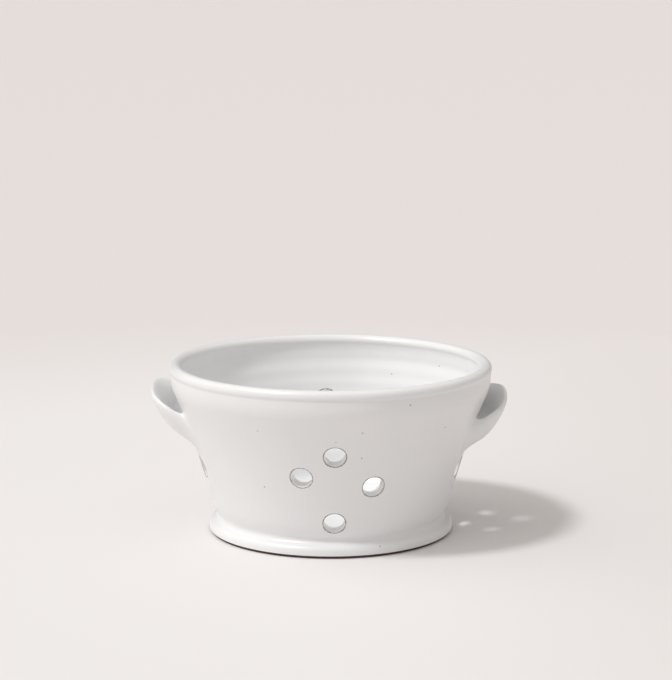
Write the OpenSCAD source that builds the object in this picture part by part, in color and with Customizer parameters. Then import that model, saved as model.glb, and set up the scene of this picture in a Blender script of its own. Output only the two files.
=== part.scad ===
// Berry colander bowl: a wheel-thrown stoneware bowl with drain holes and two pulled strap handles.
// Sizes are in millimetres. The bowl stands on Z = 0, its axis is Z and its handles point along X.
// Radii, heights and thicknesses are finished sizes, measured over the glaze.

/* [Bowl] */
// Height from the table to the top of the lip
bowl_h = 81; // [76:0.5:86]
// Diameter over the lip
rim_d = 152.4; // [150:0.2:158]
// Diameter over the foot
foot_d = 116.2; // [112:0.2:120]
// Thickness of the wall
wall_t = 5; // [4.6:0.1:5.4]
// Radius of the round lip
lip_r = 2.9; // [2.8:0.1:3.2]
// Radius of the long outward flare of the wall
flare_r = 340; // [300:10:500]
// Height of the inside floor above the table
floor_z = 9; // [8:0.5:11]
// Radius of the curve between floor and wall
floor_fillet = 7; // [5:0.5:10]
// Depth of the hollow inside the foot ring
foot_hollow = 3; // [2:0.5:4]
// Width of the ring that the bowl stands on
foot_ring_w = 9; // [6:0.5:14]

/* [Outline] */
// Radius of the round bead of the foot
bead_r = 3.2; // [2.8:0.1:3.6]
// Height of the bead's widest point
bead_z = 2.8; // [2.4:0.1:3.2]
// Chamfer under the foot's edge
foot_chamfer = 0.7; // [0.4:0.1:1]
// Radius of the groove above the foot
cove_r = 2.4; // [2:0.1:2.8]
// Radius of the turn from the groove into the wall
hip_r = 20; // [16:1:24]
// Height of that turn's centre
hip_z = 20.6; // [19:0.2:22]
// How far that turn stays inside the foot's edge
hip_inset = 0.3; // [0:0.1:1]
// Radius of the turn from the flare into the upright neck
neck_r = 18; // [14:1:22]
// Distance from the lip's top down to the neck
neck_drop = 7; // [6.5:0.1:8]
// How far the lip stands out from the neck
lip_step = 0.55; // [0.4:0.05:0.7]

/* [Drain holes] */
// Diameter of a drain hole
hole_d = 10.4; // [9:0.1:12]
// Downward tilt of the drilling direction in the wall
hole_tilt = 18; // [14:0.5:22]
// Height of the top hole of each wall cluster
top_hole_z = 49.4; // [48:0.2:51]
// Height of the bottom hole of each wall cluster
bottom_hole_z = 16.4; // [16:0.2:18]
// Height of the two side holes on the front and back
side_hole_z = 36.4; // [34:0.2:38]
// Height of the two side holes under a handle
low_side_hole_z = 33.2; // [31:0.2:34]
// Angle from a cluster's middle to its side holes
side_hole_angle = 15; // [13:0.5:17]
// How far one side hole sits above the other, front cluster
front_slant = 4.8; // [0:0.2:6]
// Turn of the front cluster away from straight ahead
front_turn = 1.7; // [0:0.1:4]
// Further turn of the front cluster's side holes
front_side_turn = 1.4; // [0:0.1:2]
// Turn of the back cluster away from straight behind
back_turn = 4.1; // [0:0.1:5]
// Turn of the back cluster's top hole one way and of its bottom hole the other way
back_twist = 1.7; // [0:0.1:2.5]
// How far the back cluster sits below the front one
back_drop = 1.2; // [0:0.1:1.4]
// Distance of the floor drains from the axis, between the wall's clusters
floor_hole_reach = 21; // [14:0.5:28]

/* [Handles] */
// Width of the strap at its middle
strap_w = 18.2; // [17:0.2:19]
// Width of the strap where it meets the wall
strap_end_w = 14.2; // [13:0.2:15]
// Share by which the strap widens from its middle to its back end, and narrows to its front end
strap_taper = 0.24; // [0.1:0.02:0.3]
// Thickness of the strap
strap_t = 3.6; // [3:0.1:4.2]
// Thickness of the strap where it is pressed onto the wall
strap_end_t = 8.6; // [6:0.2:9]
// Half the distance between the two ends of a strap
strap_half_span = 19; // [18:0.5:20]
// Height of the strap's ends, at the middle of their width
strap_end_z = 48.4; // [47:0.2:50]
// Rise from the ends to the middle of the strap
strap_rise = 8.8; // [7.8:0.2:9.8]
// Outward lean of the strap at its middle
strap_lean = 30; // [24:1:34]
// Lean of the strap at its ends, away from the middle of the loop
strap_end_lean = 10; // [4:1:16]
// How far the right strap stands out from the wall at its ends
right_reach = 14.6; // [13.6:0.2:16]
// How far the left strap stands out from the wall at its ends
left_reach = 16.4; // [15:0.2:18]
// Extra rise of the left strap's middle
left_extra_rise = 3.6; // [2.6:0.2:4.6]
// How far the right strap's back end sits above its front end
right_roll = 5; // [4:0.2:6]
// How far the left strap's back end sits above its front end
left_roll = 3.4; // [2.4:0.2:4.4]

/* [Glaze and slip] */
// Thickness of the glaze coat
glaze_t = 0.6; // [0.4:0.05:0.8]
// Height of the bare clay band at the foot
dry_foot_h = 1.2; // [0.8:0.1:2]
// Thickness of the slip that holds each strap to the wall
slip_t = 1; // [0.8:0.1:1.2]

/* [Hidden] */
$fn = 96;

clay_colour = "#8a5a44";
glaze_colour = "#f1f0ec";
slip_colour = "#a98a78";

// Straight margin by which every cutter runs past what it cuts
past = 4;

function turn_to(angle) = [cos(angle), sin(angle)];
function heading(from, to) = atan2(to[1] - from[1], to[0] - from[0]);

// Corner of a triangle, on the right of the way from p to q, at set distances from both
function corner(p, p_reach, q, q_reach) =
    let (
        base = norm(q - p),
        along = (base * base + p_reach * p_reach - q_reach * q_reach) / (2 * base),
        aside = sqrt(p_reach * p_reach - along * along),
        way = (q - p) / base
    )
    p + along * way + aside * [way[1], -way[0]];

// Points of an arc given by the direction of the outline's outward normal; hollow arcs have a negative radius
function arc(centre, radius, from, to, steps) =
    [for (i = [0 : steps]) centre + radius * turn_to(from + (to - from) * i / steps)];

lip_c = [rim_d / 2 - lip_r, bowl_h - lip_r];
bead_c = [foot_d / 2 - bead_r, bead_z];
hip_c = [foot_d / 2 - hip_inset - hip_r, hip_z];
neck_c = [rim_d / 2 - lip_step - neck_r, bowl_h - neck_drop];
cove_c = corner(bead_c, bead_r + cove_r, hip_c, hip_r + cove_r);
flare_c = corner(hip_c, hip_r + flare_r, neck_c, neck_r + flare_r);

bead_to_cove = heading(bead_c, cove_c);
cove_to_hip = heading(hip_c, cove_c);
hip_to_flare = heading(hip_c, flare_c);
flare_to_neck = heading(neck_c, flare_c);

// The floor's curve touches the floor and the inside of the flare
fillet_z = floor_z + floor_fillet;
fillet_reach = flare_r + wall_t + floor_fillet;
fillet_c = [flare_c[0] - sqrt(fillet_reach * fillet_reach - pow(fillet_z - flare_c[1], 2)), fillet_z];
fillet_to_flare = heading(fillet_c, flare_c);

// Straight ahead, towards the viewer
front_angle = -90;
drill_reach = 3 * wall_t;

// Number of short chords in each arc of the outline
bead_steps = 6;
cove_steps = 6;
hip_steps = 4;
flare_steps = 10;
neck_steps = 4;
lip_steps = 16;
fillet_steps = 6;

// The strap's ends start inside the wall, which trims them
strap_bite = 4.5;
strap_foot = sqrt(pow(wall_out(strap_end_z), 2) - pow(strap_half_span, 2));
strap_root = strap_foot - strap_bite;

// Powers that shape the strap's plan, its rise, its rounded edges and the swelling of its ends
plan_power = 0.7;
side_power = 0.75;
rise_power = 0.6;
edge_power = 0.8;
swell_power = 3;

// Rings along the strap, points in each ring, and the step that finds a ring's direction
strap_steps = 32;
ring_points = 18;
nudge = 0.01;

// Outline of the outside from the foot to the neck, moved inwards from the finished surface by inset
function outside_line(inset, bottom) =
    let (foot_out = foot_d / 2 - inset)
    concat(
        [[foot_out - foot_chamfer, bottom], [foot_out, max(bottom, 0) + foot_chamfer]],
        arc(bead_c, bead_r - inset, 0, bead_to_cove, bead_steps),
        arc(cove_c, -cove_r - inset, bead_to_cove, cove_to_hip, cove_steps),
        arc(hip_c, hip_r - inset, cove_to_hip, hip_to_flare, hip_steps),
        arc(flare_c, -flare_r - inset, hip_to_flare, flare_to_neck, flare_steps),
        arc(neck_c, neck_r - inset, flare_to_neck, 0, neck_steps)
    );

// Outline of the round lip, from where it leaves the neck outside to where it meets the wall inside
function lip_line(inset) =
    let (
        radius = lip_r - inset,
        out_turn = acos((neck_c[0] + neck_r - inset - lip_c[0]) / radius),
        in_turn = acos((lip_c[0] - neck_c[0] - neck_r + wall_t - inset) / radius)
    )
    arc(lip_c, radius, -out_turn, 180 + in_turn, lip_steps);

// Outline of the inside, from the lip down to the middle of the floor
function inside_line(inset) = concat(
    arc(neck_c, neck_r - wall_t + inset, 0, flare_to_neck, neck_steps),
    arc(flare_c, -flare_r - wall_t + inset, flare_to_neck, fillet_to_flare, flare_steps),
    arc(fillet_c, floor_fillet + inset, fillet_to_flare, -90, fillet_steps),
    [[0, floor_z - inset]]
);

// Outline of the underside, with the shallow hollow inside the foot ring
function underside_line(bottom) =
    let (ring_in = foot_d / 2 - foot_ring_w)
    [[0, foot_hollow], [ring_in - foot_hollow / 2, foot_hollow], [ring_in, bottom]];

// Bowl without its holes
module bowl_body(inset, bottom) {
    rotate_extrude() polygon(concat(
        underside_line(bottom), outside_line(inset, bottom), lip_line(inset), inside_line(inset)
    ));
}

// The same with a flat underside, for cutting the clay's place out of the glaze
module bowl_cutter(inset) {
    rotate_extrude() polygon(concat(
        [[0, -past]], outside_line(inset, -past), lip_line(inset), inside_line(inset)
    ));
}

// Solid block with the outside of the wall, for trimming what is joined to it
module wall_block(inset) {
    rotate_extrude() polygon(concat([[0, -past]], outside_line(inset, -past), [[0, neck_c[1]]]));
}

// Radius of the outside of the wall at a height on the flare
function wall_out(z) = flare_c[0] - sqrt(flare_r * flare_r - pow(z - flare_c[1], 2));

// One drill through the wall, square to its slope
module wall_drill(angle, z, radius) {
    rotate([0, 0, angle]) translate([wall_out(z), 0, z]) rotate([0, 90 + hole_tilt, 0])
        cylinder(h = 2 * drill_reach, r = radius, center = true);
}

// Diamond of four drills, slant lowers the side hole that lies further round
module wall_cluster(angle, side_z, radius, side_turn = 0, slant = 0, twist = 0, drop = 0) {
    wall_drill(angle - twist, top_hole_z - drop, radius);
    wall_drill(angle + twist, bottom_hole_z - drop, radius);
    for (way = [-1, 1])
        wall_drill(angle + side_turn + way * side_hole_angle, side_z - drop - way * slant / 2, radius);
}

module all_drills(radius) {
    wall_cluster(front_angle + front_turn, side_hole_z, radius,
        side_turn = front_side_turn, slant = front_slant);
    wall_cluster(front_angle + 180 + back_turn, side_hole_z, radius,
        twist = back_twist, drop = back_drop);
    for (angle = [0, 180]) wall_cluster(angle, low_side_hole_z, radius);
    for (angle = [45 : 90 : 315]) rotate([0, 0, angle]) translate([floor_hole_reach, 0, 0])
        cylinder(h = 2 * (floor_z + past), r = radius, center = true);
}

// Strap handle: t runs from -1 at the front end to 1 at the back end
function strap_angle(t) = 90 * sin(90 * t);

// Share of the way from the ends, 0, to the middle of the strap, 1
function share(t, power) = pow(max(cos(strap_angle(t)), 0), power);
function blend(end, middle, amount) = end + (middle - end) * amount;

function strap_y(t) = strap_half_span * sign(t) * pow(abs(sin(strap_angle(t))), side_power);
function strap_c(t, out, rise, roll) = [
    blend(strap_root, out, share(t, plan_power)),
    strap_y(t),
    strap_end_z + rise * share(t, rise_power) + roll / 2 * strap_y(t) / strap_half_span
];
function unit(v) = v / norm(v);
function strap_way(t, out, rise, roll) =
    unit(strap_c(min(t + nudge, 1), out, rise, roll) - strap_c(max(t - nudge, -1), out, rise, roll));

// Direction across the strap: it leans away from the loop's middle, and its ends lean with the wall
function strap_across(t, way) =
    let (
        level = unit([way[0], way[1], 0]),
        lean = blend(strap_end_lean, strap_lean, share(t, rise_power)),
        wall_share = 1 - share(t, rise_power)
    )
    unit([level[1] * sin(lean) + wall_share * sin(hole_tilt), -level[0] * sin(lean), cos(lean)]);

// Coordinate on the strap's soft-edged section
function rounded(v) = sign(v) * pow(abs(v), edge_power);

function strap_ring(t, out, rise, roll, inset) =
    let (
        way = strap_way(t, out, rise, roll),
        across = strap_across(t, way),
        outward = unit(cross(way, across)),
        widening = 1 + strap_taper * strap_y(t) / strap_half_span,
        half_w = blend(strap_end_w, strap_w, share(t, rise_power)) / 2 * widening - inset,
        half_t = blend(strap_t, strap_end_t, pow(1 - share(t, plan_power), swell_power)) / 2 - inset
    )
    [for (i = [0 : ring_points - 1]) let (turn = 360 * i / ring_points)
        strap_c(t, out, rise, roll)
            + across * half_w * rounded(cos(turn))
            + outward * half_t * rounded(sin(turn))];

module strap(out, rise, roll, inset) {
    points = [for (i = [0 : strap_steps]) each strap_ring(2 * i / strap_steps - 1, out, rise, roll, inset)];
    sides = [for (i = [0 : strap_steps - 1]) for (j = [0 : ring_points - 1])
        let (a = i * ring_points + j, b = i * ring_points + (j + 1) % ring_points)
        each [[a, b + ring_points, b], [a, a + ring_points, b + ring_points]]];
    front_cap = [for (j = [0 : ring_points - 1]) j];
    back_cap = [for (j = [ring_points - 1 : -1 : 0]) strap_steps * ring_points + j];
    polyhedron(points, concat(sides, [front_cap, back_cap]), convexity = 4);
}

module right_strap(inset) strap(strap_foot + right_reach, strap_rise, right_roll, inset);
module left_strap(inset) mirror([1, 0, 0])
    strap(strap_foot + left_reach, strap_rise + left_extra_rise, left_roll, inset);

module thrown_bowl() {
    color(clay_colour) difference() {
        bowl_body(glaze_t, 0);
        all_drills(hole_d / 2 + glaze_t);
    }
}

// Coat over the inside, the outside, the lip and the holes, open under the straps
module bowl_glaze() {
    color(glaze_colour) difference() {
        bowl_body(0, dry_foot_h);
        difference() {
            bowl_cutter(glaze_t);
            all_drills(hole_d / 2 + glaze_t);
        }
        all_drills(hole_d / 2);
        difference() {
            union() {
                right_strap(glaze_t);
                left_strap(glaze_t);
            }
            wall_block(glaze_t);
        }
    }
}

module handle_clay() {
    color(clay_colour) difference() {
        children();
        wall_block(glaze_t - slip_t);
    }
}

module handle_slip() {
    color(slip_colour) intersection() {
        children();
        difference() {
            wall_block(glaze_t - slip_t);
            wall_block(glaze_t);
        }
    }
}

module handle_glaze() {
    color(glaze_colour) difference() {
        children(0);
        children(1);
        wall_block(0);
    }
}

module right_handle() handle_clay() right_strap(glaze_t);
module right_handle_slip() handle_slip() right_strap(glaze_t);
module right_handle_glaze() handle_glaze() { right_strap(0); right_strap(glaze_t); }
module left_handle() handle_clay() left_strap(glaze_t);
module left_handle_slip() handle_slip() left_strap(glaze_t);
module left_handle_glaze() handle_glaze() { left_strap(0); left_strap(glaze_t); }

thrown_bowl();
bowl_glaze();
right_handle();
right_handle_slip();
right_handle_glaze();
left_handle();
left_handle_slip();
left_handle_glaze();
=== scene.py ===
"""Looks of the berry colander bowl: white-glazed stoneware with drain holes and two pulled strap handles."""
import math

import bmesh
import bpy
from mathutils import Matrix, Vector, noise
from mathutils.bvhtree import BVHTree


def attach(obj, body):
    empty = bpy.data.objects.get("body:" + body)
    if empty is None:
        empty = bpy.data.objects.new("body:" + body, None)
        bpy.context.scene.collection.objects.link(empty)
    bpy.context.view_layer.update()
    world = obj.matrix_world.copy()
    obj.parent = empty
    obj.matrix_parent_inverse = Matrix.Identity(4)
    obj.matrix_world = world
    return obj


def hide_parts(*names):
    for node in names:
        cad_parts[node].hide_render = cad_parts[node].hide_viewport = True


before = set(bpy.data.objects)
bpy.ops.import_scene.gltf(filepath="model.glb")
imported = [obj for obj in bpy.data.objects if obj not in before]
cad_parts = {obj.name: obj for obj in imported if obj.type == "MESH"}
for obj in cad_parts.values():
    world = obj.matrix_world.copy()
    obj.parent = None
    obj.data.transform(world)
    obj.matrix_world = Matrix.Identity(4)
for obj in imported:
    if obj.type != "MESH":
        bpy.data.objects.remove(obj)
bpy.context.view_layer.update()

MM = 0.001

# Sizes of the bowl in millimetres, as in the solids but for a slightly taller dry foot and a thinner glaze
BOWL_H = 81.0
RIM_R = 76.2
FOOT_R = 58.1
WALL_T = 5.0
LIP_R = 2.9
FLARE_R = 340.0
FLOOR_Z = 9.0
FLOOR_FILLET = 7.0
FOOT_HOLLOW = 3.0
BEAD_R = 3.2
BEAD_Z = 2.8
COVE_R = 2.4
HIP_R = 20.0
HIP_Z = 20.6
HIP_INSET = 0.3
NECK_R = 18.0
NECK_DROP = 7.0
LIP_STEP = 0.55
# Taller than in the solids, so that the dark dry band also stands in as painted contact shadow under the
# foot.
DRY_FOOT_H = 1.35
GLAZE_T = 0.5

# Drain holes, placed as in the solids but a little narrower, with a soft edge; angles in degrees
HOLE_R = 4.85
HOLE_EDGE_R = 0.5
HOLE_TILT = math.radians(18)
TOP_HOLE_Z = 49.4
BOTTOM_HOLE_Z = 16.4
SIDE_HOLE_ANGLE = 15
FLOOR_HOLE_REACH = 21.0
WALL_CLUSTERS = [
    {"angle": -88.3, "side_turn": 1.4, "side_z": 36.4, "slant": 4.8, "twist": 0.0, "drop": 0.0},
    {"angle": 94.1, "side_turn": 0.0, "side_z": 36.4, "slant": 0.0, "twist": 1.7, "drop": 1.2},
    {"angle": 0, "side_turn": 0.0, "side_z": 33.2, "slant": 0.0, "twist": 0.0, "drop": 0.0},
    {"angle": 180, "side_turn": 0.0, "side_z": 33.2, "slant": 0.0, "twist": 0.0, "drop": 0.0},
]

# Iron specks in the glaze: direction in degrees and height in millimetres
OUTSIDE_SPECKS = [
    (-117, 60.7), (-119, 32.8), (-78.6, 61.3), (-78, 48.8), (-88, 57.1), (-43, 59.2), (-62, 73.2), (-67, 4.6),
    (-83, 17.1), (72, 58.0), (106, 34.0), (148, 62.0), (127, 23.0), (171, 66.0), (12, 31.0), (33, 47.0),
]
INSIDE_SPECKS = [(63, 63.0), (40, 69.8), (-70, 50.0), (-110, 35.0), (-140, 60.0), (160, 40.0)]
SPECK_R = 0.3

# Net of the turned surface: columns round the axis, rows along the outline, cells given up to one hole
COLUMNS = 192
SEAM_ANGLE = 45
FINE_ROW = 0.5
WALL_ROW = 1.25
WALL_CELLS = (4, 6)
FLOOR_CELLS = (5, 5)
FLOOR_HALF = COLUMNS // 8
ARC_STEP = 0.1
WELD = 0.03
SHARP_ANGLE = math.radians(60)
THIN = "thin_glaze"

# Rings of a hole's edge: share of the way to the opening, then bend into it, each with how thin the glaze is
OPENING_RINGS = [(0.0, 0.0), (0.45, 0.0), (0.8, 0.0), (0.93, 0.0), (1.0, 0.9)]
BEND_RINGS = [(18, 1.0), (36, 0.8), (54, 0.2), (72, 0.0), (90, 0.0)]

# Marks of throwing in millimetres: the spiral of the fingers and the wander of the wall
THROW_RING_DEPTH = 0.16
THROW_RING_PITCH = 6.8
THROW_RING_LEAST = 0.35
SWIRL_REACH = 42.0
SWIRL_START = 10.0
SWIRL_BAND = 0.5
WOBBLE = 0.3
WOBBLE_SEED = 3.0

# Strap handles, as in the solids, with soft corners at the wall and the marks of wet fingers
STRAP_W = 18.2
STRAP_END_W = 14.2
STRAP_TAPER = 0.24
STRAP_T = 3.6
STRAP_END_T = 8.6
STRAP_HALF_SPAN = 19.0
STRAP_END_Z = 48.4
STRAP_RISE = 8.8
STRAP_LEAN = math.radians(30)
STRAP_END_LEAN = math.radians(10)
STRAP_BITE = 4.5
STRAP_PLAN_POWER = 0.7
STRAP_SIDE_POWER = 0.75
STRAP_RISE_POWER = 0.6
STRAP_EDGE_POWER = 0.8
STRAP_SWELL_POWER = 3
STRAP_FILLET = 4.2
STRAP_SKIRT = [(0.8, -0.06), (1.8, -0.4)]
STRAP_AROUND = 36
STRAP_ROWS = 44
STRAP_BENDS = 9
PLACE_NUDGE = 0.01
PLACE_STEP = 0.02
PLACE_HALVINGS = 24
FINGER_PITCH = 9.0
FINGER_DEPTH = 0.12
FINGER_SEED = 5
STRAPS = {
    "right": {"side": 1, "reach": 14.6, "rise": STRAP_RISE, "roll": 5.0},
    "left": {"side": -1, "reach": 16.4, "rise": STRAP_RISE + 3.6, "roll": 3.4},
}

# Colours of the finishes
GLAZE_DEEP = (0.845, 0.845, 0.855, 1)
GLAZE_PALE = (0.885, 0.88, 0.89, 1)
GLAZE_MOTTLE = (0.83, 0.828, 0.835, 1)
GLAZE_EDGE = (0.19, 0.165, 0.145, 1)
IRON_SPECK = (0.16, 0.12, 0.10, 1)
# The two clay browns are darker than the clay itself: painted contact shadow where the dry foot meets the
# floor.
CLAY_DARK_AND_PAINTED_SHADE = (0.075, 0.042, 0.03, 1)
CLAY_LIGHT_AND_PAINTED_SHADE = (0.13, 0.072, 0.048, 1)
CLAY_SAND = (0.27, 0.19, 0.145, 1)
SLIP_DARK = (0.30, 0.19, 0.13, 1)
SLIP_LIGHT = (0.42, 0.29, 0.21, 1)
FLOOR_NEAR = (0.84, 0.81, 0.815, 1)
FLOOR_FAR_AND_PAINTED_SHADE = (0.775, 0.725, 0.72, 1)
ROOM_WHITE = (1.0, 0.985, 0.94, 1)

# Studio floor: radii of its rings in metres and points in each
FLOOR_RINGS = [0.2, 0.5, 1.0, 4.0, 60.0]
FLOOR_SIDES = 48

# Camera: place in metres, downward pitch in degrees, focal length and picture height in pixels, sensor in mm
CAMERA_AT = (0.00246, -1.0, 0.2662)
CAMERA_PITCH = 9.945
FOCAL_PIXELS = 2146.0
PICTURE_PIXELS = 680.0
SENSOR = 36.0


def turn_to(angle):
    """Unit step in the outline's plane, from an angle in radians."""
    return Vector((math.cos(angle), math.sin(angle)))


def heading(start, end):
    """Angle of the way from one point of the outline's plane to another."""
    return math.atan2(end[1] - start[1], end[0] - start[0])


def corner(p, p_reach, q, q_reach):
    """Corner of a triangle, on the right of the way from p to q, at set distances from both."""
    base = (q - p).length
    along = (base * base + p_reach * p_reach - q_reach * q_reach) / (2 * base)
    aside = math.sqrt(p_reach * p_reach - along * along)
    way = (q - p) / base
    return p + along * way + aside * Vector((way[1], -way[0]))


def arc(centre, radius, start, end, facing=1):
    """Close-set outline points on an arc, each with the direction that the surface faces."""
    steps = max(2, round(abs(radius * (end - start)) / ARC_STEP))
    turns = [start + (end - start) * i / steps for i in range(steps + 1)]
    return [(centre + radius * turn_to(turn), facing * turn_to(turn)) for turn in turns]


LIP_C = Vector((RIM_R - LIP_R, BOWL_H - LIP_R))
BEAD_C = Vector((FOOT_R - BEAD_R, BEAD_Z))
HIP_C = Vector((FOOT_R - HIP_INSET - HIP_R, HIP_Z))
NECK_C = Vector((RIM_R - LIP_STEP - NECK_R, BOWL_H - NECK_DROP))
COVE_C = corner(BEAD_C, BEAD_R + COVE_R, HIP_C, HIP_R + COVE_R)
FLARE_C = corner(HIP_C, HIP_R + FLARE_R, NECK_C, NECK_R + FLARE_R)
FILLET_Z = FLOOR_Z + FLOOR_FILLET
FILLET_REACH = FLARE_R + WALL_T + FLOOR_FILLET
FILLET_C = Vector((FLARE_C[0] - math.sqrt(FILLET_REACH ** 2 - (FILLET_Z - FLARE_C[1]) ** 2), FILLET_Z))


def respaced(line, spacing):
    """The same outline with its points at one even spacing."""
    lengths = [0.0]
    for (here, _), (there, _) in zip(line[:-1], line[1:]):
        lengths.append(lengths[-1] + (there - here).length)
    count = max(1, round(lengths[-1] / spacing))
    rows = []
    place = 0
    for i in range(count + 1):
        wanted = lengths[-1] * i / count
        while place < len(line) - 2 and lengths[place + 1] < wanted:
            place += 1
        share = (wanted - lengths[place]) / max(lengths[place + 1] - lengths[place], 1e-9)
        point = line[place][0].lerp(line[place + 1][0], share)
        rows.append((point, line[place][1].lerp(line[place + 1][1], share).normalized()))
    return rows


def bowl_rows():
    """Rows of the glazed outline from the dry foot over the lip to the floor, and where its walls lie."""
    bead_to_cove = heading(BEAD_C, COVE_C)
    cove_to_hip = heading(HIP_C, COVE_C)
    hip_to_flare = heading(HIP_C, FLARE_C)
    flare_to_neck = heading(NECK_C, FLARE_C)
    fillet_to_flare = heading(FILLET_C, FLARE_C)
    out_turn = math.acos((NECK_C[0] + NECK_R - LIP_C[0]) / LIP_R)
    in_turn = math.acos((LIP_C[0] - NECK_C[0] - NECK_R + WALL_T) / LIP_R)
    foot = [(Vector((FOOT_R, DRY_FOOT_H)), Vector((1, 0)))]
    foot += arc(BEAD_C, BEAD_R, 0, bead_to_cove)
    foot += arc(COVE_C, -COVE_R, bead_to_cove, cove_to_hip)
    outside = arc(HIP_C, HIP_R, cove_to_hip, hip_to_flare)
    outside += arc(FLARE_C, -FLARE_R, hip_to_flare, flare_to_neck)
    lip = arc(NECK_C, NECK_R, flare_to_neck, 0)
    lip += arc(LIP_C, LIP_R, -out_turn, math.pi + in_turn)
    lip += arc(NECK_C, NECK_R - WALL_T, 0, flare_to_neck, -1)
    inside = arc(FLARE_C, -FLARE_R - WALL_T, flare_to_neck, fillet_to_flare, -1)
    inside += arc(FILLET_C, FLOOR_FILLET, fillet_to_flare, -math.pi / 2, -1)
    rows = respaced(foot, FINE_ROW)
    walls = {}
    stretches = (("outside", outside, WALL_ROW), ("lip", lip, FINE_ROW), ("inside", inside, WALL_ROW))
    for name, line, spacing in stretches:
        first = len(rows) - 1
        rows += respaced(line, spacing)[1:]
        walls[name] = (first, len(rows) - 1)
    return rows, walls


ROWS, WALLS = bowl_rows()


def row_at(wall, height):
    """Place along the rows, with its fraction, at which one wall has a height."""
    first, last = WALLS[wall]
    for row in range(first, last):
        low, high = ROWS[row][0][1], ROWS[row + 1][0][1]
        if min(low, high) <= height <= max(low, high):
            return row + (height - low) / (high - low)
    raise ValueError("the wall has no such height")


class Value:
    """A node's output; Python's operators on it add Math nodes."""

    def __init__(self, bench, socket):
        self.bench = bench
        self.socket = socket

    def maths(self, operation, *others):
        inputs = {i: value for i, value in enumerate((self, *others))}
        return self.bench.make("ShaderNodeMath", {"operation": operation}, inputs)

    def __add__(self, other):
        return self.maths("ADD", other)

    def __radd__(self, other):
        return self.maths("ADD", other)

    def __sub__(self, other):
        return self.maths("SUBTRACT", other)

    def __rsub__(self, other):
        return self.bench.make("ShaderNodeMath", {"operation": "SUBTRACT"}, {0: other, 1: self})

    def __mul__(self, other):
        return self.maths("MULTIPLY", other)

    def __rmul__(self, other):
        return self.maths("MULTIPLY", other)

    def __truediv__(self, other):
        return self.maths("DIVIDE", other)

    def __gt__(self, other):
        return self.maths("GREATER_THAN", other)

    def __lt__(self, other):
        return self.maths("LESS_THAN", other)

    def clamped(self):
        return self.maths("MINIMUM", 1).maths("MAXIMUM", 0)

    def toward(self, other, share):
        return self + (other - self) * share


class Bench:
    """Makes the nodes of one tree."""

    def __init__(self, tree):
        self.tree = tree

    def make(self, kind, settings=None, inputs=None, output=0):
        node = self.tree.nodes.new(kind)
        for name, value in (settings or {}).items():
            setattr(node, name, value)
        for key, value in (inputs or {}).items():
            links = value if isinstance(value, list) else [value]
            for link in links:
                if isinstance(link, Value):
                    self.tree.links.new(link.socket, node.inputs[key])
                else:
                    node.inputs[key].default_value = link
        return Value(self, node.outputs[output])

    def sibling(self, value, output):
        """Another output of the node that a value comes from."""
        return Value(self, value.socket.node.outputs[output])

    def split(self, vector):
        x = self.make("ShaderNodeSeparateXYZ", None, {0: vector})
        return x, self.sibling(x, 1), self.sibling(x, 2)

    def vector(self, x, y, z):
        return self.make("ShaderNodeCombineXYZ", None, {0: x, 1: y, 2: z})

    def attribute(self, name):
        return self.make("GeometryNodeInputNamedAttribute", {"data_type": "FLOAT"}, {"Name": name})

    def sample(self, geometry, name, index):
        settings = {"data_type": "FLOAT", "domain": "POINT", "clamp": True}
        inputs = {"Geometry": geometry, "Value": self.attribute(name), "Index": index}
        return self.make("GeometryNodeSampleIndex", settings, inputs)

    def moved(self, geometry, position):
        return self.make("GeometryNodeSetPosition", None, {"Geometry": geometry, "Position": position})


def mesh_with(name, points, faces, values):
    """A mesh whose points carry named numbers."""
    mesh = bpy.data.meshes.new(name)
    mesh.from_pydata(points, [], faces)
    for key, numbers in values.items():
        attribute = mesh.attributes.new(key, "FLOAT", "POINT")
        attribute.data.foreach_set("value", numbers)
    return mesh


def shown(name, mesh):
    """A new object of the scene."""
    made = bpy.data.objects.new(name, mesh)
    bpy.context.scene.collection.objects.link(made)
    return made


def outline_template():
    """The turned outline as a row of points with their radius, height and facing, in metres."""
    values = {
        "radius": [point[0] * MM for point, _ in ROWS],
        "height": [point[1] * MM for point, _ in ROWS],
        "face_out": [facing[0] for _, facing in ROWS],
        "face_up": [facing[1] for _, facing in ROWS],
    }
    points = [(point[0] * MM, 0, point[1] * MM) for point, _ in ROWS]
    return mesh_with("outline_template", points, [], values)


def block_edge(half_columns, half_rows):
    """Cells round the edge of a block, anticlockwise from the middle of its right side, with their turn."""
    edge = []
    for row in range(0, half_rows):
        edge.append((half_columns, row, 45 * row / half_rows))
    for column in range(half_columns, -half_columns, -1):
        edge.append((column, half_rows, 90 - 45 * column / half_columns))
    for row in range(half_rows, -half_rows, -1):
        edge.append((-half_columns, row, 180 - 45 * row / half_rows))
    for column in range(-half_columns, half_columns):
        edge.append((column, -half_rows, 270 + 45 * column / half_columns))
    for row in range(-half_rows, 0):
        edge.append((half_columns, row, 360 + 45 * row / half_rows))
    return edge


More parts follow.
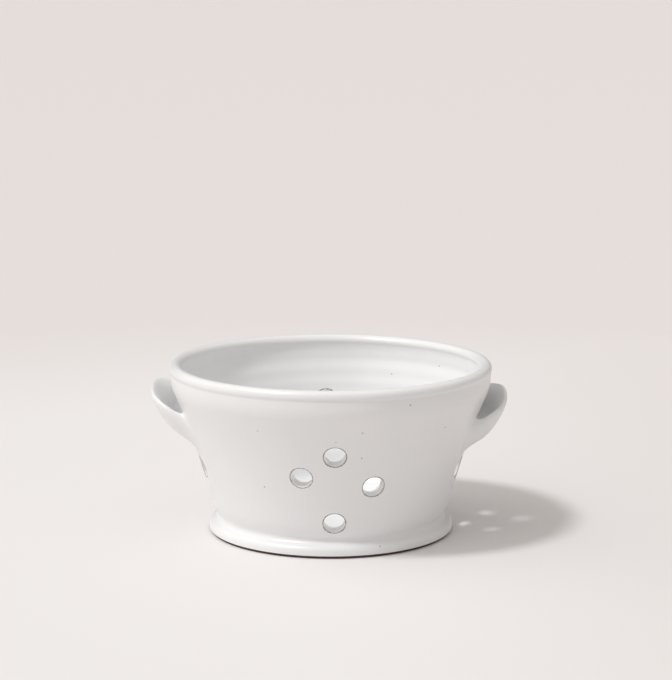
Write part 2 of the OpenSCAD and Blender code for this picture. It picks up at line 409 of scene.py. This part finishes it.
def drain_collar(name, cells, through):
    """One drain hole: rings from a block of cells to a round, soft edge, then through the wall or down."""
    one_side = [(share, 1.0, 0.0, thin) for share, thin in OPENING_RINGS]
    for bend, thin in BEND_RINGS:
        turn = math.radians(bend)
        one_side.append((1.0, 1 - math.sin(turn), 1 - math.cos(turn), thin))
    rings = [(0.0, 0.0, *ring) for ring in one_side]
    if through:
        rings += [(1.0, 0.0, *ring) for ring in reversed(one_side)]
    else:
        rings += [(0.0, 1.0, *one_side[-1])]
    edge = block_edge(*cells)
    keys = ("edge_x", "edge_y", "turn_x", "turn_y", "open", "flare", "sink", "inner", "end", THIN)
    values = {key: [] for key in keys}
    for inner, end, share, flare, sink, thin in rings:
        for column, row, turn in edge:
            way = turn_to(math.radians(turn))
            numbers = (column, row, way[0], way[1], share, flare, sink, inner, end, thin)
            for key, number in zip(keys, numbers):
                values[key].append(number)
    around = len(edge)
    faces = []
    for ring in range(len(rings) - 1):
        for i in range(around):
            a = ring * around + i
            b = ring * around + (i + 1) % around
            faces.append((a, b, b + around, a + around))
    points = [(0, 0, 0)] * (around * len(rings))
    return mesh_with(name, points, faces, values)


def drill_marks():
    """Every drain hole as a point: the block of cells that it takes and where it sits in that block."""
    keys = ("in_floor", "column", "column_slip", "row", "row_slip", "inner_row", "inner_row_slip",
            "per_column", "inner_per_column", "at_x", "at_y")
    values = {key: [] for key in keys}

    def mark(**numbers):
        for key in keys:
            values[key].append(numbers.get(key, 0.0))

    def wall_mark(angle, height):
        column = (angle - SEAM_ANGLE) % 360 * COLUMNS / 360
        row = row_at("outside", height)
        inner_row = row_at("inside", height + WALL_T * math.sin(HOLE_TILT))
        out_r = ROWS[round(row)][0][0]
        in_r = ROWS[round(inner_row)][0][0]
        mark(column=round(column), column_slip=column - round(column),
             row=round(row), row_slip=row - round(row),
             inner_row=round(inner_row), inner_row_slip=inner_row - round(inner_row),
             per_column=COLUMNS / (2 * math.pi * out_r * MM),
             inner_per_column=COLUMNS / (2 * math.pi * in_r * MM))

    for cluster in WALL_CLUSTERS:
        wall_mark(cluster["angle"] - cluster["twist"], TOP_HOLE_Z - cluster["drop"])
        wall_mark(cluster["angle"] + cluster["twist"], BOTTOM_HOLE_Z - cluster["drop"])
        for way in (-1, 1):
            height = cluster["side_z"] - cluster["drop"] - way * cluster["slant"] / 2
            wall_mark(cluster["angle"] + cluster["side_turn"] + way * SIDE_HOLE_ANGLE, height)
    floor_cell = round(FLOOR_HOLE_REACH / ROWS[-1][0][0] * FLOOR_HALF)
    aside = FLOOR_HOLE_REACH * math.sqrt(0.5) * MM
    for x, y in ((1, 1), (-1, 1), (-1, -1), (1, -1)):
        mark(in_floor=1, column=x * floor_cell, row=y * floor_cell, at_x=x * aside, at_y=y * aside)
    return mesh_with("drill_marks", [(0, 0, 0)] * len(values["row"]), [], values)


def wheel_inputs(tree):
    """Named inputs of the turning tree, with their defaults."""
    numbers = {
        "Hole radius": HOLE_R * MM, "Hole edge radius": HOLE_EDGE_R * MM,
        "Floor radius": ROWS[-1][0][0] * MM, "Floor height": FLOOR_Z * MM,
        "Drain end height": FOOT_HOLLOW * MM, "Throwing ring depth": THROW_RING_DEPTH * MM,
        "Throwing ring pitch": THROW_RING_PITCH * MM, "Wobble": WOBBLE * MM, "Seed": WOBBLE_SEED,
    }
    sockets = {}

    def add(name, kind):
        sockets[name] = tree.interface.new_socket(name, in_out="INPUT", socket_type=kind)

    add("Drill marks", "NodeSocketGeometry")
    for name in ("Outline template", "Wall collar", "Floor collar"):
        add(name, "NodeSocketObject")
    for name, value in numbers.items():
        add(name, "NodeSocketFloat")
        sockets[name].default_value = value
    add("Glaze", "NodeSocketMaterial")
    tree.interface.new_socket("Bowl", in_out="OUTPUT", socket_type="NodeSocketGeometry")
    return sockets


def wheel_tree():
    """Geometry Nodes that turn the outline, drill the holes and press in the throwing rings."""
    tree = bpy.data.node_groups.new("thrown_on_the_wheel", "GeometryNodeTree")
    sockets = wheel_inputs(tree)
    bench = Bench(tree)
    make = bench.make
    start = tree.nodes.new("NodeGroupInput")
    given = {name: Value(bench, start.outputs[name]) for name in sockets}
    hole_r = given["Hole radius"]
    edge_r = given["Hole edge radius"]
    floor_r = given["Floor radius"]
    floor_z = given["Floor height"]

    def solid(name):
        info = make("GeometryNodeObjectInfo", None, {"Object": given[name]})
        return bench.sibling(info, "Geometry")

    template = solid("Outline template")

    def turned(column, row, depth):
        """Point of the turned surface, sunk by a depth under it."""
        low = row.maths("FLOOR")
        share = row - low

        def along(name):
            return bench.sample(template, name, low).toward(bench.sample(template, name, low + 1), share)

        radius = along("radius") - along("face_out") * depth
        height = along("height") - along("face_up") * depth
        turn = column * (2 * math.pi / COLUMNS) + math.radians(SEAM_ANGLE)
        return bench.vector(radius * turn.maths("COSINE"), radius * turn.maths("SINE"), height)

    def disc(x, y):
        """Place on the round floor of a point of the square floor net."""
        across = x.maths("ABSOLUTE")
        up = y.maths("ABSOLUTE")
        reach = across.maths("MAXIMUM", up)
        turn = across.maths("MINIMUM", up) / reach.maths("MAXIMUM", 0.001) * (math.pi / 4)
        wide = across > up
        near = turn.maths("COSINE")
        far = turn.maths("SINE")
        radius = reach * floor_r / FLOOR_HALF
        disc_x = x.maths("SIGN") * far.toward(near, wide) * radius
        disc_y = y.maths("SIGN") * near.toward(far, wide) * radius
        return disc_x, disc_y

    def without_blocks(net, x, y, blocks, cells):
        """The net with the inside of each hole's block taken out."""
        settings = {"target_element": "POINTS"}
        inputs = {"Geometry": blocks, "Sample Position": bench.vector(x, y, 0)}
        nearest = make("GeometryNodeProximity", settings, inputs)
        near_x, near_y, _ = bench.split(nearest)
        in_columns = (x - near_x).maths("ABSOLUTE") < cells[0] - 0.5
        in_rows = (y - near_y).maths("ABSOLUTE") < cells[1] - 0.5
        taken = in_columns * in_rows
        return make("GeometryNodeDeleteGeometry", {"domain": "POINT"}, {"Geometry": net, "Selection": taken})

    def net(columns, rows):
        inputs = {"Size X": columns, "Size Y": rows, "Vertices X": columns + 1, "Vertices Y": rows + 1}
        grid = make("GeometryNodeMeshGrid", None, inputs)
        x, y, _ = bench.split(make("GeometryNodeInputPosition"))
        return grid, x, y

    def collars(marks, name):
        inputs = {"Points": marks, "Instance": solid(name)}
        placed = make("GeometryNodeInstanceOnPoints", None, inputs)
        return make("GeometryNodeRealizeInstances", None, {0: placed})

    at = bench.attribute
    in_floor = at("in_floor") > 0.5
    floor_marks = make("GeometryNodeSeparateGeometry", None, {0: given["Drill marks"], 1: in_floor})
    wall_marks = bench.sibling(floor_marks, "Inverted")
    outer_blocks = bench.moved(wall_marks, bench.vector(at("column"), at("row"), 0))
    inner_blocks = bench.moved(wall_marks, bench.vector(at("column"), at("inner_row"), 0))
    wall_blocks = make("GeometryNodeJoinGeometry", None, {0: [outer_blocks, inner_blocks]})
    floor_blocks = bench.moved(floor_marks, bench.vector(at("column"), at("row"), 0))

    # Wall, from the foot over the lip to the floor
    last_row = len(ROWS) - 1
    sheet, x, y = net(COLUMNS, last_row)
    column = x + COLUMNS / 2
    row = y + last_row / 2
    sheet = without_blocks(sheet, column, row, wall_blocks, WALL_CELLS)
    sheet = bench.moved(sheet, turned(column, row, 0))

    # Drain holes through the wall
    inner = at("inner")
    ring_r = hole_r + edge_r * at("flare")
    upward = 1 - 2 * inner
    rows_per_metre = 1 / (WALL_ROW * MM)
    open_share = at("open")
    columns_per_metre = at("per_column").toward(at("inner_per_column"), inner)
    round_x = at("column_slip") + ring_r * at("turn_x") * columns_per_metre
    row_slip = at("row_slip").toward(at("inner_row_slip"), inner)
    round_y = row_slip + ring_r * at("turn_y") * upward * rows_per_metre
    hole_column = at("column") + at("edge_x").toward(round_x, open_share)
    hole_row = at("row").toward(at("inner_row"), inner) + (at("edge_y") * upward).toward(round_y, open_share)
    holes = collars(wall_marks, "Wall collar")
    holes = bench.moved(holes, turned(hole_column, hole_row, edge_r * at("sink")))

    # Flat floor and its drains
    floor, x, y = net(2 * FLOOR_HALF, 2 * FLOOR_HALF)
    floor = without_blocks(floor, x, y, floor_blocks, FLOOR_CELLS)
    floor_x, floor_y = disc(x, y)
    floor = bench.moved(floor, bench.vector(floor_x, floor_y, floor_z))
    edge_x, edge_y = disc(at("column") + at("edge_x"), at("row") + at("edge_y"))
    drain_x = edge_x.toward(at("at_x") + ring_r * at("turn_x"), open_share)
    drain_y = edge_y.toward(at("at_y") + ring_r * at("turn_y"), open_share)
    drain_z = (floor_z - edge_r * at("sink")).toward(given["Drain end height"], at("end"))
    drains = collars(floor_marks, "Floor collar")
    drains = bench.moved(drains, bench.vector(drain_x, drain_y, drain_z))

    bowl = make("GeometryNodeJoinGeometry", None, {0: [sheet, holes, floor, drains]})
    bowl = make("GeometryNodeMergeByDistance", None, {"Geometry": bowl, "Distance": WELD * MM})

    # Throwing rings wind up the inside as one spiral, and the whole wall wanders a little
    x, y, z = bench.split(make("GeometryNodeInputPosition"))
    radius = (x * x + y * y).maths("SQRT").maths("MAXIMUM", 0.001)
    turn = y.maths("ARCTAN2", x)
    face = make("GeometryNodeInputNormal")
    face_x, face_y, _ = bench.split(face)
    facing_in = (0 - (x * face_x + y * face_y) / radius).clamped()

    def drifting(across, up, seed, detail):
        place = bench.vector(x * across, y * across, z * up)
        inputs = {"Vector": place, "W": seed, "Scale": 1.0, "Detail": detail}
        return make("ShaderNodeTexNoise", {"noise_dimensions": "4D"}, inputs)

    depth = given["Throwing ring depth"]
    pitch = given["Throwing ring pitch"]
    wobble = given["Wobble"]
    drift = drifting(26, 55, given["Seed"], 2.0)
    soft = drifting(12, 8, given["Seed"] + 7, 1.0)
    high = (z / (BOWL_H * MM)).clamped()
    spiral = (z / pitch * (2 * math.pi) + turn).maths("SINE")
    ring = spiral * depth * facing_in * (THROW_RING_LEAST + drift)
    wander = (drift - 0.5) * wobble * high + (soft - 0.5) * wobble * 2 * high
    push = (ring + wander) / radius
    floor_swirl = (radius / pitch * (2 * math.pi) - turn).maths("SINE")
    near_floor = (z < (FLOOR_Z + SWIRL_BAND) * MM) * (z > (FLOOR_Z - SWIRL_BAND) * MM)
    on_floor = near_floor * (radius < SWIRL_REACH * MM)
    lift = floor_swirl * on_floor * depth * (radius / (SWIRL_START * MM)).clamped()
    offset = bench.vector(x * push, y * push, lift + (soft - 0.5) * wobble * 2 * high * high)
    bowl = make("GeometryNodeSetPosition", None, {"Geometry": bowl, "Offset": offset})
    bowl = make("GeometryNodeSetShadeSmooth", None, {"Geometry": bowl})
    bowl = make("GeometryNodeRealizeInstances", None, {0: bowl})
    bowl = make("GeometryNodeSetMaterial", None, {"Geometry": bowl, "Material": given["Glaze"]})
    end = tree.nodes.new("NodeGroupOutput")
    tree.links.new(bowl.socket, end.inputs[0])
    return tree, sockets


def plain_mesh(made):
    """The finished mesh of an object, with every modifier applied."""
    bpy.context.view_layer.update()
    graph = bpy.context.evaluated_depsgraph_get()
    mesh = bpy.data.meshes.new_from_object(made.evaluated_get(graph), depsgraph=graph)
    made.modifiers.clear()
    made.data = mesh
    return mesh


def thrown_bowl_coat(glaze):
    """The glazed skin of the bowl, turned and drilled by Geometry Nodes, then given its thickness."""
    template = shown("outline_template", outline_template())
    wall_collar = shown("wall_collar", drain_collar("wall_collar", WALL_CELLS, True))
    floor_collar = shown("floor_collar", drain_collar("floor_collar", FLOOR_CELLS, False))
    coat = shown("bowl_glaze_coat", drill_marks())
    tree, sockets = wheel_tree()
    wheel = coat.modifiers.new("wheel", "NODES")
    wheel.node_group = tree
    wheel[sockets["Outline template"].identifier] = template
    wheel[sockets["Wall collar"].identifier] = wall_collar
    wheel[sockets["Floor collar"].identifier] = floor_collar
    wheel[sockets["Glaze"].identifier] = glaze
    mesh = plain_mesh(coat)
    for helper in (template, wall_collar, floor_collar):
        bpy.data.objects.remove(helper)
    for attribute in [a for a in mesh.attributes if not a.is_internal and not a.is_required]:
        if attribute.domain == "POINT" and attribute.data_type == "FLOAT" and attribute.name != THIN:
            mesh.attributes.remove(attribute)
    face_outwards(mesh)
    skin = BVHTree.FromPolygons([v.co for v in mesh.vertices], [p.vertices for p in mesh.polygons])
    thickness = coat.modifiers.new("glaze thickness", "SOLIDIFY")
    thickness.thickness = GLAZE_T * MM
    thickness.offset = -1
    mesh = plain_mesh(coat)
    mesh.set_sharp_from_angle(angle=SHARP_ANGLE)
    return coat, skin


def face_outwards(mesh):
    """Turns every face of an open bowl skin to the side away from the clay."""
    work = bmesh.new()
    work.from_mesh(mesh)
    bmesh.ops.recalc_face_normals(work, faces=work.faces)
    top = max(work.faces, key=lambda face: face.calc_center_median().z)
    if top.normal.z < 0:
        bmesh.ops.reverse_faces(work, faces=work.faces)
    work.to_mesh(mesh)
    work.free()


def wall_gap(point):
    """Distance of a point, in millimetres, outside the flared wall, and the way that the wall faces there."""
    radius = math.hypot(point.x, point.y)
    away = FLARE_C - Vector((radius, point.z))
    face = away.normalized()
    return FLARE_R - away.length, Vector((face[0] * point.x / radius, face[0] * point.y / radius, face[1]))


def wall_out(height):
    """Radius of the outside of the wall at a height on the flare."""
    return FLARE_C[0] - math.sqrt(FLARE_R ** 2 - (height - FLARE_C[1]) ** 2)


class Strap:
    """The pulled strap as a rule: a place along it, from -1 at the front end to 1, and a turn round it."""

    def __init__(self, reach, rise, roll):
        foot = math.sqrt(wall_out(STRAP_END_Z) ** 2 - STRAP_HALF_SPAN ** 2)
        self.root = foot - STRAP_BITE
        self.out = foot + reach
        self.rise = rise
        self.roll = roll

    def share(self, place, power):
        angle = math.pi / 2 * math.sin(math.pi / 2 * place)
        return max(math.cos(angle), 0) ** power

    def centre(self, place):
        angle = math.pi / 2 * math.sin(math.pi / 2 * place)
        y = STRAP_HALF_SPAN * math.copysign(abs(math.sin(angle)) ** STRAP_SIDE_POWER, place)
        x = self.root + (self.out - self.root) * self.share(place, STRAP_PLAN_POWER)
        z = STRAP_END_Z + self.rise * self.share(place, STRAP_RISE_POWER)
        z += self.roll / 2 * y / STRAP_HALF_SPAN
        return Vector((x, y, z))

    def point(self, place, turn):
        after = self.centre(min(place + PLACE_NUDGE, 1))
        before = self.centre(max(place - PLACE_NUDGE, -1))
        way = (after - before).normalized()
        level = Vector((way.x, way.y, 0)).normalized()
        middle = self.share(place, STRAP_RISE_POWER)
        lean = STRAP_END_LEAN + (STRAP_LEAN - STRAP_END_LEAN) * middle
        with_wall = (1 - middle) * math.sin(HOLE_TILT)
        across = Vector((level.y * math.sin(lean) + with_wall, -level.x * math.sin(lean), math.cos(lean)))
        across.normalize()
        outward = way.cross(across).normalized()
        centre = self.centre(place)
        width = STRAP_END_W + (STRAP_W - STRAP_END_W) * middle
        width = width * (1 + STRAP_TAPER * centre.y / STRAP_HALF_SPAN)
        swelling = (1 - self.share(place, STRAP_PLAN_POWER)) ** STRAP_SWELL_POWER
        thick = STRAP_T + (STRAP_END_T - STRAP_T) * swelling
        wide = math.copysign(abs(math.cos(turn)) ** STRAP_EDGE_POWER, math.cos(turn))
        deep = math.copysign(abs(math.sin(turn)) ** STRAP_EDGE_POWER, math.sin(turn))
        return centre + across * wide * width / 2 + outward * deep * thick / 2

    def place_with_gap(self, end, turn, gap):
        """Place near one end at which a line along the strap comes this close to the wall."""
        near = 1.0
        far = 1.0
        while wall_gap(self.point(end * far, turn))[0] < gap:
            near = far
            far -= PLACE_STEP
        for _ in range(PLACE_HALVINGS):
            middle = (near + far) / 2
            if wall_gap(self.point(end * middle, turn))[0] < gap:
                near = middle
            else:
                far = middle
        return end * far


def strap_coat(name, skin, glaze, side, reach, rise, roll):
    """The glazed surface of one strap, whose ends flow into the wall."""
    strap = Strap(reach, rise, roll)

    def flowing(end, turn, gap, push):
        """Point of the soft corner between strap and wall."""
        place = strap.place_with_gap(end, turn, max(gap, 0))
        point = strap.point(place, turn)
        face = wall_gap(point)[1]
        away = point - strap.centre(place)
        away = (away - face * away.dot(face)).normalized()
        point = point + away * push
        now, face = wall_gap(point)
        point = point + face * (gap - now)
        mirrored = Vector((side * point.x, point.y, point.z)) * MM
        spot, spot_face, _, _ = skin.find_nearest(mirrored)
        true_gap = (mirrored - spot).dot(spot_face) / MM
        return point + face * (gap - true_gap) * (1 - max(gap, 0) / STRAP_FILLET)

    def soft_end(end, turn):
        """Points of one line along the strap, from where its soft corner starts to under the wall's skin."""
        points = []
        for i in range(1, STRAP_BENDS + 1):
            bend = math.pi / 2 * i / STRAP_BENDS
            gap = STRAP_FILLET * (1 - math.sin(bend))
            points.append(flowing(end, turn, gap, STRAP_FILLET * (1 - math.cos(bend))))
        points += [flowing(end, turn, gap, STRAP_FILLET + push) for push, gap in STRAP_SKIRT]
        return points

    columns = []
    for i in range(STRAP_AROUND):
        turn = 2 * math.pi * i / STRAP_AROUND
        first = strap.place_with_gap(-1, turn, STRAP_FILLET)
        last = strap.place_with_gap(1, turn, STRAP_FILLET)
        body = [strap.point(first + (last - first) * j / STRAP_ROWS, turn) for j in range(STRAP_ROWS + 1)]
        body = [point + uneven(point, side) for point in body]
        columns.append(soft_end(-1, turn)[::-1] + body + soft_end(1, turn))
    length = len(columns[0])
    points = [Vector((side * p.x, p.y, p.z)) * MM for column in columns for p in column]
    faces = []
    for i in range(STRAP_AROUND):
        here = i * length
        there = (i + 1) % STRAP_AROUND * length
        for j in range(length - 1):
            faces.append((here + j, here + j + 1, there + j + 1, there + j))
    faces.append([i * length for i in range(STRAP_AROUND)])
    faces.append([i * length + length - 1 for i in reversed(range(STRAP_AROUND))])
    mesh = bpy.data.meshes.new(name)
    mesh.from_pydata(points, [], faces)
    work = bmesh.new()
    work.from_mesh(mesh)
    bmesh.ops.recalc_face_normals(work, faces=work.faces)
    work.to_mesh(mesh)
    work.free()
    mesh.shade_smooth()
    mesh.materials.append(glaze)
    return shown(name, mesh)


def uneven(point, side):
    """The slight unevenness that wet fingers leave on a pulled strap."""
    return noise.noise_vector(Vector((point.x * side, point.y, point.z)) / FINGER_PITCH) * FINGER_DEPTH


def new_material(name):
    """A material with its shader, and a bench to make the rest of its nodes."""
    material = bpy.data.materials.new(name)
    material.use_nodes = True
    bench = Bench(material.node_tree)
    shader = material.node_tree.nodes["Principled BSDF"]
    return material, bench, shader


def link(bench, value, shader, socket):
    bench.tree.links.new(value.socket, shader.inputs[socket])


def noise_at(bench, place, scale, detail):
    inputs = {"Vector": place, "Scale": scale, "Detail": detail}
    return bench.make("ShaderNodeTexNoise", None, inputs)


def mixed(bench, share, first, second):
    """A colour between two colours."""
    settings = {"data_type": "RGBA", "blend_type": "MIX"}
    return bench.make("ShaderNodeMix", settings, {0: share, 6: first, 7: second}, 2)


def speck_places():
    """Where the iron specks lie on the turned surface, in metres."""
    places = []
    for inward, specks in ((False, OUTSIDE_SPECKS), (True, INSIDE_SPECKS)):
        line = [point for point, facing in ROWS if (facing[0] < 0) == inward]
        for angle, height in specks:
            radius = min(line, key=lambda point: abs(point[1] - height))[0]
            way = turn_to(math.radians(angle))
            places.append((way[0] * radius * MM, way[1] * radius * MM, height * MM))
    return places


def white_glaze():
    """Satin white glaze with a faint mottle, thin grey hole edges and a few iron specks."""
    material, bench, shader = new_material("white_glaze")
    place = bench.make("ShaderNodeTexCoord", None, None, "Object")
    cloud = noise_at(bench, place, 42, 3.0)
    mottle = noise_at(bench, place, 260, 2.0)
    ragged = noise_at(bench, place, 1100, 1.0)
    colour = mixed(bench, cloud, GLAZE_DEEP, GLAZE_PALE)
    colour = mixed(bench, mottle * 0.25, colour, GLAZE_MOTTLE)
    thin = bench.make("ShaderNodeAttribute", {"attribute_name": THIN}, None, "Fac")
    colour = mixed(bench, (thin * (1.9 * ragged - 0.1)).clamped(), colour, GLAZE_EDGE)
    nearest = 1.0
    for spot in speck_places():
        away = bench.make("ShaderNodeVectorMath", {"operation": "DISTANCE"}, {0: place, 1: spot}, "Value")
        nearest = away.maths("MINIMUM", nearest)
    speck = ((SPECK_R * MM * (0.6 + 0.9 * ragged) - nearest) / (0.3 * MM) + 0.5).clamped()
    colour = mixed(bench, speck * 0.8, colour, IRON_SPECK)
    link(bench, colour, shader, "Base Color")
    link(bench, 0.24 + 0.1 * cloud + 0.06 * mottle, shader, "Roughness")
    shader.inputs["IOR"].default_value = 1.5
    ripple = noise_at(bench, place, 150, 2.0) * 0.7 + noise_at(bench, place, 900, 2.0) * 0.12
    bump = bench.make("ShaderNodeBump", None, {"Strength": 0.25, "Distance": 0.0004, "Height": ripple})
    link(bench, bump, shader, "Normal")
    return material


def stoneware_and_painted_foot_shade():
    """Unglazed red-brown stoneware with sand in it and faint turning lines, its browns darker than the clay's
    own as painted contact shadow along the foot.
    """
    material, bench, shader = new_material("stoneware")
    place = bench.make("ShaderNodeTexCoord", None, None, "Object")
    x, y, _ = bench.split(place)
    radius = (x * x + y * y).maths("SQRT")
    cloud = noise_at(bench, place, 70, 3.0)
    sand = noise_at(bench, place, 1500, 2.0)
    colour = mixed(bench, cloud, CLAY_DARK_AND_PAINTED_SHADE, CLAY_LIGHT_AND_PAINTED_SHADE)
    colour = mixed(bench, ((sand - 0.62) * 8).clamped() * 0.6, colour, CLAY_SAND)
    link(bench, colour, shader, "Base Color")
    link(bench, 0.72 + 0.2 * sand, shader, "Roughness")
    lines = (radius * 4200 + cloud * 6).maths("SINE")
    relief = lines * 0.3 + sand
    bump = bench.make("ShaderNodeBump", None, {"Strength": 0.3, "Distance": 0.0004, "Height": relief})
    link(bench, bump, shader, "Normal")
    return material


def joining_slip():
    """Dried slip between strap and wall."""
    material, bench, shader = new_material("slip")
    place = bench.make("ShaderNodeTexCoord", None, None, "Object")
    cloud = noise_at(bench, place, 400, 3.0)
    colour = mixed(bench, cloud, SLIP_DARK, SLIP_LIGHT)
    link(bench, colour, shader, "Base Color")
    link(bench, 0.8 + 0.15 * cloud, shader, "Roughness")
    bump = bench.make("ShaderNodeBump", None, {"Strength": 0.4, "Distance": 0.0003, "Height": cloud})
    link(bench, bump, shader, "Normal")
    return material


def studio_floor():
    """A wide pale floor that turns a little greyer and warmer away from the bowl, and darker towards the
    right as painted shade of the light falling off from the left.
    """
    material, bench, shader = new_material("studio_floor")
    place = bench.make("ShaderNodeTexCoord", None, None, "Object")
    x, y, _ = bench.split(place)
    away = (x * x + y * y).maths("SQRT")
    # Past 0.3 m the floor greys towards the backdrop; towards the right it darkens as painted shade, standing
    # in for the left-hand light falling off.
    far = ((away - 0.3) / 0.3).clamped().maths("MAXIMUM", (x / 0.2).clamped() * 0.8)
    colour = mixed(bench, far, FLOOR_NEAR, FLOOR_FAR_AND_PAINTED_SHADE)
    link(bench, colour, shader, "Base Color")
    shader.inputs["Roughness"].default_value = 0.9
    shader.inputs["Specular IOR Level"].default_value = 0.1
    mesh = bpy.data.meshes.new("floor")
    points = []
    for radius in FLOOR_RINGS:
        for i in range(FLOOR_SIDES):
            way = turn_to(2 * math.pi * i / FLOOR_SIDES)
            points.append((radius * way[0], radius * way[1], 0))
    points.append((0, 0, 0))
    faces = [(i, (i + 1) % FLOOR_SIDES, len(points) - 1) for i in range(FLOOR_SIDES)]
    for ring in range(len(FLOOR_RINGS) - 1):
        for i in range(FLOOR_SIDES):
            a = ring * FLOOR_SIDES + i
            b = ring * FLOOR_SIDES + (i + 1) % FLOOR_SIDES
            faces.append((a, a + FLOOR_SIDES, b + FLOOR_SIDES, b))
    mesh.from_pydata(points, [], faces)
    mesh.materials.append(material)
    floor = shown("floor", mesh)


def sun(name, towards, strength, angle, colour):
    """A far lamp that shines along a direction."""
    lamp = bpy.data.lights.new(name, "SUN")
    lamp.energy = strength
    lamp.angle = math.radians(angle)
    lamp.color = colour
    made = bpy.data.objects.new(name, lamp)
    made.rotation_euler = Vector(towards).to_track_quat("-Z", "Y").to_euler()
    bpy.context.scene.collection.objects.link(made)


def studio_light():
    """A small cool key from the upper left, a wide warm fill from the left and a room brightest above."""
    sun("key", (0.466, 0.254, -0.847), 1.32, 9, (0.95, 0.98, 1.0))
    sun("left_fill", (0.93, 0.12, -0.35), 1.40, 100, (1.0, 0.95, 0.88))
    world = bpy.data.worlds.new("studio")
    bpy.context.scene.world = world
    world.use_nodes = True
    bench = Bench(world.node_tree)
    back = world.node_tree.nodes["Background"]
    back.inputs["Color"].default_value = ROOM_WHITE
    x, y, z = bench.split(bench.make("ShaderNodeTexCoord", None, None, "Generated"))
    from_right = x.maths("MAXIMUM", 0) * 0.38
    from_front = (0 - y).maths("MAXIMUM", 0) * 0.17
    room = from_right + from_front + z * z * 0.78
    link(bench, room, back, "Strength")


def photograph_camera():
    """The camera at the photograph's place."""
    camera_data = bpy.data.cameras.new("camera")
    camera_data.sensor_fit = "AUTO"
    camera_data.sensor_width = SENSOR
    camera_data.lens = SENSOR * FOCAL_PIXELS / PICTURE_PIXELS
    camera_data.clip_start = 0.01
    camera_data.clip_end = 200.0
    camera = bpy.data.objects.new("camera", camera_data)
    camera.location = CAMERA_AT
    camera.rotation_euler = (math.radians(90 - CAMERA_PITCH), 0, 0)
    bpy.context.scene.collection.objects.link(camera)
    bpy.context.scene.camera = camera


def dress(node, material):
    """A solid that stays as it is gets its finish."""
    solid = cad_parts[node]
    solid.data.materials.clear()
    solid.data.materials.append(material)


photograph_camera()
glaze = white_glaze()
clay = stoneware_and_painted_foot_shade()
slip = joining_slip()

coat, skin = thrown_bowl_coat(glaze)
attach(coat, "root")
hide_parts("bowl_glaze")
noise.seed_set(FINGER_SEED)
for hand, sizes in STRAPS.items():
    strap = strap_coat(hand + "_handle_glaze_coat", skin, glaze, **sizes)
    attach(strap, "root")
    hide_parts(hand + "_handle_glaze")
    dress(hand + "_handle", clay)
    dress(hand + "_handle_slip", slip)
dress("thrown_bowl", clay)

studio_floor()
studio_light()
bpy.context.scene.view_settings.view_transform = "Standard"
